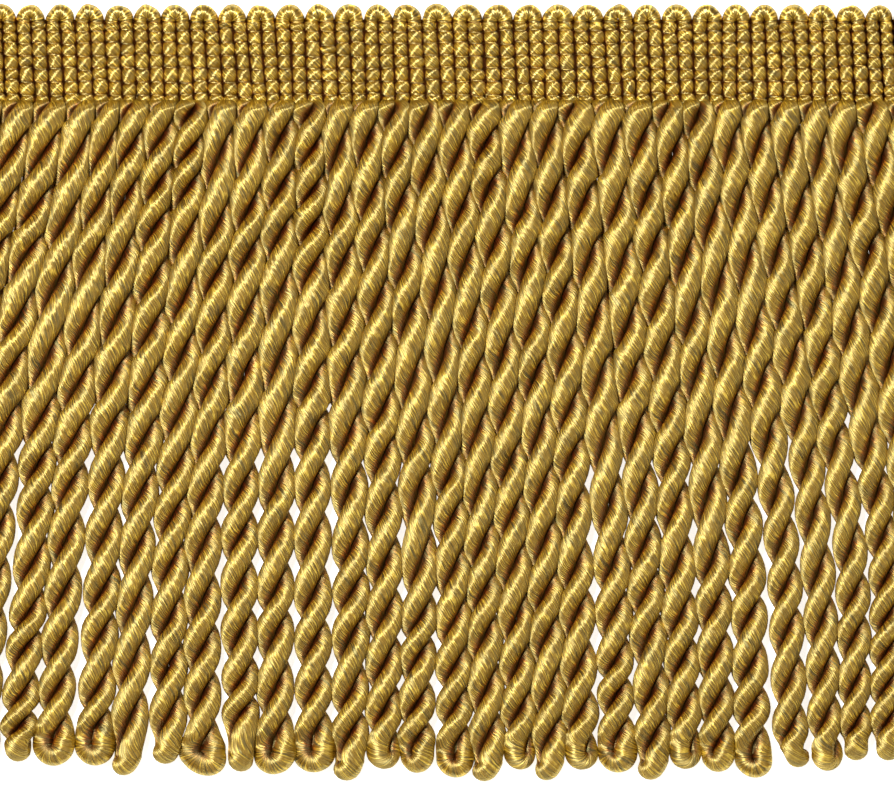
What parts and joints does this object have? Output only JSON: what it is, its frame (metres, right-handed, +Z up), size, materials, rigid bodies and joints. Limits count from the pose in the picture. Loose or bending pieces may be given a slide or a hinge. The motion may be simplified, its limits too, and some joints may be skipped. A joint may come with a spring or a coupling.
{
  "type": "cord fringe trim",
  "caption": "Flat length of upholstery fringe: a narrow ribbed woven heading with a scalloped top edge, and a close row of thick two-ply twisted cords hanging from it.",
  "frame": {"origin": "middle of the trim's footprint, on the surface it lies on", "axes": "+X along the heading, left to right; +Y across it, from the cord tips to the scallops; +Z up, out of the face"},
  "size_m": [0.2212, 0.1534, 0.0067],
  "materials": {
    "heading_yarn": "lustrous rayon, antique gold",
    "cord_yarn": "lustrous twisted rayon, antique gold"
  },
  "bodies": {
    "root": {"heading": "heading_yarn", "fringe": "cord_yarn"}
  },
  "joints": []
}
